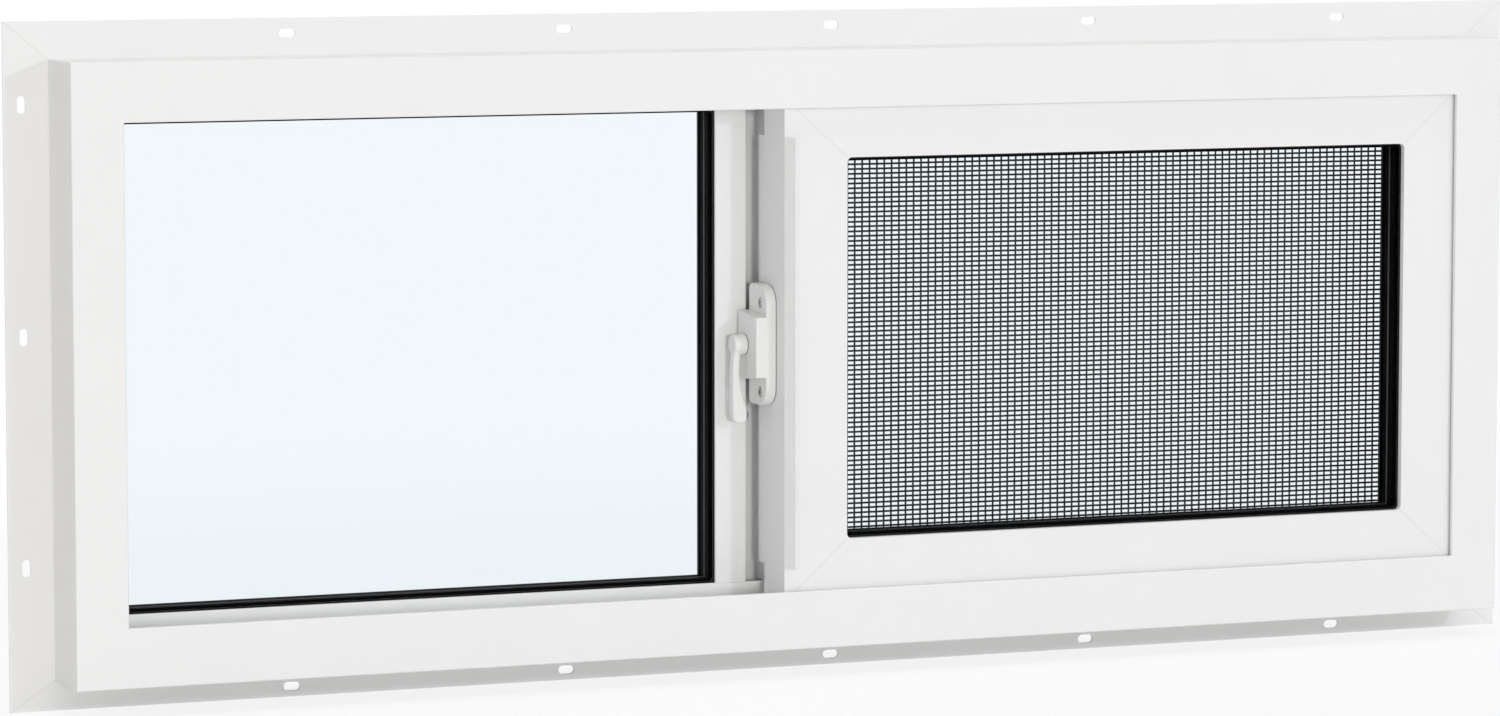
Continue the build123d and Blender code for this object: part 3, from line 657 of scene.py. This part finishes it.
def screw_head(recipe):
    """Pan head that stands on its flat underside, with a cross recess cut in its dome."""
    radius, height = recipe.given("Head radius"), recipe.given("Head height")
    rim = height * SCREW_RIM_SHARE
    disc = recipe.add("GeometryNodeMeshCylinder", {"fill_type": "TRIANGLE_FAN"}, {
        "Vertices": SCREW_SIDES, "Fill Segments": 6, "Radius": radius, "Depth": rim})
    x, y, z = (recipe.position(axis) for axis in "XYZ")
    out = (((x * x) + (y * y)) ** 0.5 / radius).least(1.0)
    dome = (1.0 - out * out) ** 0.5 * (height - rim)
    lift = dome * recipe.number("GREATER_THAN", z, 0.0) + rim * 0.5
    head = recipe.shifted(disc, z=lift)
    arm = recipe.given("Recess")
    bar = recipe.add("GeometryNodeMeshCube", {}, {
        "Size": recipe.vector(arm, arm * SCREW_BAR_SHARE, height)})
    bars = [recipe.moved(bar, (0.0, 0.0, height), (0.0, 0.0, turn)) for turn in (0.0, math.pi / 2)]
    return recipe.add("GeometryNodeMeshBoolean", {"operation": "DIFFERENCE", "solver": "EXACT"}, {
        "Mesh 1": head, "Mesh 2": recipe.joined(bars), "Self Intersection": True})


def pile_strip(recipe, low, high):
    """Backing ribbon against the lip, with rows of tufts that reach for the sash."""
    wide, deep, tall = (high[i] - low[i] for i in range(3))
    spacing, tuft, backing = recipe.given("Spacing"), recipe.given("Tuft"), recipe.given("Backing")
    spots = recipe.add("GeometryNodeMeshGrid", {}, {
        "Size X": wide - tuft, "Size Y": tall - tuft, "Vertices X": recipe.number("ROUND", wide / spacing),
        "Vertices Y": recipe.number("ROUND", tall / spacing)})
    spots = recipe.moved(spots, (0.0, 0.0, backing))
    fibre = recipe.add("GeometryNodeMeshCone", {}, {
        "Vertices": TUFT_SIDES, "Radius Top": tuft * TUFT_TIP_SHARE, "Radius Bottom": tuft * 0.5,
        "Depth": deep - backing})
    lean = recipe.add("FunctionNodeRandomValue", {"data_type": "FLOAT_VECTOR"}, {
        "Min": (-TUFT_LEAN, -TUFT_LEAN, 0.0), "Max": (TUFT_LEAN, TUFT_LEAN, TUFT_SPIN),
        "Seed": recipe.given("Seed")})
    length = recipe.add("FunctionNodeRandomValue", {"data_type": "FLOAT"}, {
        "Min": TUFT_SHORT, "Max": TUFT_LONG, "Seed": recipe.given("Seed")})
    tufts = recipe.add("GeometryNodeInstanceOnPoints", {}, {
        "Points": spots, "Instance": fibre, "Rotation": lean, "Scale": recipe.vector(1.0, 1.0, length)})
    ribbon = recipe.add("GeometryNodeMeshCube", {}, {"Size": recipe.vector(wide, tall, backing)})
    ribbon = recipe.moved(ribbon, (0.0, 0.0, backing * 0.5))
    centre = ((low[0] + high[0]) / 2, low[1], (low[2] + high[2]) / 2)
    return recipe.moved(recipe.joined([ribbon, tufts]), centre, (-math.pi / 2, 0.0, 0.0))


class BASEMENTWINDOW_OT_finishes(bpy.types.Operator):
    """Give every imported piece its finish"""

    bl_idname = "basement_window.finishes"
    bl_label = "Finishes"

    def execute(self, context):
        looks = context.scene.window_finishes
        colour = tuple(looks.vinyl)
        self.frame(colour, looks.vinyl_roughness)
        self.sash(colour, looks.vinyl_roughness)
        self.fin(colour, looks.vinyl_roughness + FIN_DULLER)
        self.glazing(tuple(looks.glass))
        self.lock(tuple(looks.enamel))
        self.screen(shade(colour, SCREEN_BAR_SHADE))
        dress(["sash_rollers", "roller_carriers"], moulded("roller_nylon", NYLON))
        dress(["pile_weatherstrips"], tufts("grey_pile", PILE_GREY))
        return {"FINISHED"}

    def frame(self, colour, rough):
        jambs = ["frame_jamb_left", "frame_jamb_right"]
        middle = ["fixed_mullion", "fixed_jamb_stop", "mullion_cover"]
        dress(["frame_head", "frame_sill"], vinyl("frame_vinyl_level", colour, "x", rough))
        dress(jambs + middle, vinyl("frame_vinyl_upright", colour, "z", rough))
        dress(named("exterior_bead"), vinyl("bead_vinyl", colour, "x", rough))

    def sash(self, colour, rough):
        levels = ["sash_top_rail", "sash_bottom_rail"]
        uprights = ["sash_meeting_stile", "sash_jamb_stile"]
        low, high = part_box("sash_glass_inner")
        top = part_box("sash_spacer")[1].z
        sight = (low.x + GLASS_COVERED, high.x - GLASS_COVERED, low.z + GLASS_COVERED, top - GLASS_COVERED)
        seam = mitre_seams(rectangle(levels + uprights), sight)
        dress(levels, vinyl("sash_vinyl_level", colour, "x", rough, seam))
        dress(uprights, vinyl("sash_vinyl_upright", colour, "z", rough, seam))
        dress(named("sash_bead"), vinyl("sash_bead_vinyl", colour, "z", rough))

    def fin(self, colour, rough):
        seam = mitre_seams(rectangle(named("nail_fin")), rectangle(named("frame_")))
        dress(["nail_fin_top", "nail_fin_bottom"], vinyl("fin_vinyl_level", colour, "x", rough, seam))
        dress(["nail_fin_left", "nail_fin_right"], vinyl("fin_vinyl_upright", colour, "z", rough, seam))

    def glazing(self, tint):
        dress([name for name in NODES if "glass" in name], pane("clear_glass", tint))
        for name in [name for name in NODES if "spacer" in name]:
            low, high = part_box(name)
            centre = (low.y + high.y) / 2
            # The spacer gets a painted highlight line at the middle of its depth
            dress([name], rubber(name, SPACER_BLACK, roughness=0.65, gloss=0.02, line=centre))
        seal = rubber("black_gasket", GASKET_BLACK, roughness=0.4, gloss=0.2)
        dress([name for name in NODES if "gasket" in name], seal)
        dress(["setting_blocks"], rubber("setting_block_rubber", BLOCK_BLACK, roughness=0.7))

    def lock(self, colour):
        low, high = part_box("lock_case")
        # Each gets a painted contact shadow: the case at its foot on the sash, the lever where it meets the
        # case
        dress(["lock_case"], enamel("lock_case_enamel", colour, high.x))
        dress(["lock_lever"], enamel("lock_lever_enamel", colour, low.x))
        dress(["lock_cam", "lock_keeper"], plated("lock_steel", ZINC, roughness=0.4))

    def screen(self, colour):
        dress(named("screen_bar"), painted_bar("screen_bar_white", colour))
        dress(["screen_spline"], rubber("screen_spline_vinyl", SPLINE_BLACK, roughness=0.55))
        dress(["screen_mesh"], strand_coating("black_screen_mesh", YARN_BLACK))


class BASEMENTWINDOW_OT_screen(bpy.types.Operator):
    """Weave the insect screen's strands in place of the plain sheet"""

    bl_idname = "basement_window.screen"
    bl_label = "Insect screen"

    def execute(self, context):
        weave = context.scene.window_screen
        low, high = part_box("screen_mesh")
        coating = bpy.data.materials["black_screen_mesh"]
        recipe = Recipe("screen_weave", {
            "Pitch X": (FLOAT, weave.pitch_x),
            "Pitch Z": (FLOAT, weave.pitch_z),
            "Strand": (FLOAT, weave.strand),
            "Weave": (FLOAT, weave.wave),
            "Slack": (FLOAT, weave.slack),
            "Pressed": (FLOAT, weave.pressed),
            "Seed": (FLOAT, float(weave.seed)),
            "Finish": (MATERIAL, coating),
        })
        both = [strands(recipe, low, high, upright) for upright in (True, False)]
        recipe.finish(recipe.joined(both), recipe.given("Finish"))
        screen = piece("screen_strands", recipe.mesh("screen_strands"), coating)
        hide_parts("screen_mesh")
        return {"FINISHED"}


class BASEMENTWINDOW_OT_screws(bpy.types.Operator):
    """Seat the lock's two pan-head screws in their sinks"""

    bl_idname = "basement_window.screws"
    bl_label = "Lock screws"

    def execute(self, context):
        sizes = context.scene.window_screws
        steel = bpy.data.materials["lock_steel"]
        low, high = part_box("lock_case")
        middle = (low.z + high.z) / 2 - sizes.lower
        x, y, reach = high.x - sizes.seat, high.y - sizes.behind, sizes.spacing / 2
        seats = [(x, y, middle + reach), (x, y, middle - reach)]
        recipe = Recipe("lock_screws", {
            "Head radius": (FLOAT, sizes.radius),
            "Head height": (FLOAT, sizes.height),
            "Recess": (FLOAT, sizes.recess),
            "Finish": (MATERIAL, steel),
        })
        head = screw_head(recipe)
        set_in = []
        for seat, spin in zip(seats, SCREW_TURNS):
            driven = recipe.moved(head, (0.0, 0.0, 0.0), (0.0, 0.0, spin))
            set_in.append(recipe.moved(driven, seat, (0.0, -math.pi / 2, 0.0)))
        recipe.finish(recipe.joined(set_in), recipe.given("Finish"))
        piece("lock_screws", recipe.mesh("lock_screws"), steel)
        return {"FINISHED"}


class BASEMENTWINDOW_OT_pile(bpy.types.Operator):
    """Tuft the three weatherstrips in place of their plain strips"""

    bl_idname = "basement_window.pile"
    bl_label = "Pile weatherstrips"

    def execute(self, context):
        sizes = context.scene.window_pile
        low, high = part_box("pile_weatherstrips")
        inset = sizes.width + sizes.corner_gap
        strips = (
            (low, (high.x - inset, high.y, low.z + sizes.width)),
            ((low.x, low.y, high.z - sizes.width), (high.x - inset, high.y, high.z)),
            ((high.x - sizes.width, low.y, low.z + inset), (high.x, high.y, high.z - inset)),
        )
        fibres = bpy.data.materials["grey_pile"]
        recipe = Recipe("pile_tufts", {
            "Spacing": (FLOAT, sizes.spacing),
            "Tuft": (FLOAT, sizes.fibre),
            "Backing": (FLOAT, sizes.backing),
            "Seed": (WHOLE, sizes.seed),
            "Finish": (MATERIAL, fibres),
        })
        rows = [pile_strip(recipe, *corners) for corners in strips]
        recipe.finish(recipe.joined(rows), recipe.given("Finish"))
        pile = piece("pile_tufts", recipe.mesh("pile_tufts"), fibres)
        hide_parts("pile_weatherstrips")
        return {"FINISHED"}


class BASEMENTWINDOW_OT_studio(bpy.types.Operator):
    """Make the floor, the lamps, the background and the camera"""

    bl_idname = "basement_window.studio"
    bl_label = "Studio"

    def execute(self, context):
        studio = context.scene.window_studio
        scene = context.scene
        scene.view_settings.view_transform = "Standard"
        self.floor(studio)
        self.background(scene, studio)
        self.lamps(studio)
        self.camera(scene)
        return {"FINISHED"}

    def floor(self, studio):
        """A square at the window's lowest point, with its corners in turn round it."""
        level, near, far = CAD_BOX[0][2], -FLOOR_REACH, FLOOR_REACH
        mesh = bpy.data.meshes.new("studio_floor")
        corners = [(x, y, level) for x, y in ((near, near), (far, near), (far, far), (near, far))]
        mesh.from_pydata(corners, [], [(0, 1, 2, 3)])
        mesh.materials.append(studio_floor("studio_floor", tuple(studio.floor)))
        floor = bpy.data.objects.new("studio_floor", mesh)
        bpy.context.scene.collection.objects.link(floor)

    def background(self, scene, studio):
        world = bpy.data.worlds.new("studio_light")
        scene.world = world
        world.use_nodes = True
        sky = Graph(world.node_tree)
        even = sky.add("ShaderNodeBackground", {}, {"Color": WARM, "Strength": studio.ambient})
        white = sky.add("ShaderNodeBackground", {}, {"Color": WHITE, "Strength": 1.0})
        mixed = sky.add("ShaderNodeMixShader", {}, [sky.seen_plainly(), even, white])
        sky.add("ShaderNodeOutputWorld", {}, {"Surface": mixed})

    def lamps(self, studio):
        """A soft lamp on the right whose light doesn't fade with distance, and three even fills."""
        light = bpy.data.lights.new("key_lamp", "POINT")
        light.energy = studio.key
        light.color = COOL
        light.shadow_soft_size = studio.key_radius
        light.use_nodes = True
        beam = Graph(light.node_tree)
        even = beam.add("ShaderNodeLightFalloff", {}, {"Strength": 1.0}).shown("Constant")
        glow = beam.add("ShaderNodeEmission", {}, {"Strength": even})
        beam.add("ShaderNodeOutputLight", {}, {"Surface": glow})
        lamp = bpy.data.objects.new("key_lamp", light)
        lamp.location = KEY_PLACE
        bpy.context.scene.collection.objects.link(lamp)
        self.fill("front_fill", studio.fill, **FRONT_FILL)
        self.fill("back_fill", studio.back, **BACK_FILL)
        self.fill("top_fill", studio.top, **TOP_FILL)

    def fill(self, name, strength, height, side, spread):
        """Even light from a height over the floor and a side, which blurs its shadows by its spread."""
        light = bpy.data.lights.new(name, "SUN")
        light.energy = strength
        light.color = WARM
        light.angle = math.radians(spread)
        lamp = bpy.data.objects.new(name, light)
        lamp.rotation_euler = (math.radians(90 - height), 0.0, math.radians(side))
        bpy.context.scene.collection.objects.link(lamp)

    def camera(self, scene):
        view = bpy.data.cameras.new("photo_camera")
        view.sensor_width = CAMERA_SENSOR
        view.sensor_fit = "HORIZONTAL"
        view.lens = CAMERA_LENS
        view.clip_start = CAMERA_NEAR
        view.clip_end = CAMERA_FAR
        camera = bpy.data.objects.new("photo_camera", view)
        camera.location = CAMERA_PLACE
        camera.rotation_euler = (math.radians(90 - CAMERA_DOWN), 0.0, math.radians(-CAMERA_RIGHT))
        scene.collection.objects.link(camera)
        scene.camera = camera


STEPS = (
    BASEMENTWINDOW_OT_finishes,
    BASEMENTWINDOW_OT_screen,
    BASEMENTWINDOW_OT_screws,
    BASEMENTWINDOW_OT_pile,
    BASEMENTWINDOW_OT_studio,
)
GROUPS = {
    "window_finishes": FinishSettings,
    "window_screen": ScreenSettings,
    "window_screws": ScrewSettings,
    "window_pile": PileSettings,
    "window_studio": StudioSettings,
}


class BASEMENTWINDOW_PT_panel(bpy.types.Panel):
    """Sidebar panel with the window's steps and settings"""

    bl_idname = "BASEMENTWINDOW_PT_panel"
    bl_label = "Sliding basement window"
    bl_space_type = "VIEW_3D"
    bl_region_type = "UI"
    bl_category = "Window"

    def draw(self, context):
        layout = self.layout
        for step in STEPS:
            layout.operator(step.bl_idname)
        for name, group in GROUPS.items():
            column = layout.column()
            for field in group.__annotations__:
                column.prop(getattr(context.scene, name), field)


def register():
    for group in GROUPS.values():
        bpy.utils.register_class(group)
    for name, group in GROUPS.items():
        setattr(bpy.types.Scene, name, bpy.props.PointerProperty(type=group))
    for kind in (*STEPS, BASEMENTWINDOW_PT_panel):
        bpy.utils.register_class(kind)


def unregister():
    for kind in (BASEMENTWINDOW_PT_panel, *reversed(STEPS)):
        bpy.utils.unregister_class(kind)
    for name, group in GROUPS.items():
        delattr(bpy.types.Scene, name)
        bpy.utils.unregister_class(group)


def main():
    register()
    for step in STEPS:
        family, action = step.bl_idname.split(".")
        getattr(getattr(bpy.ops, family), action)()


if __name__ == "__main__":
    main()
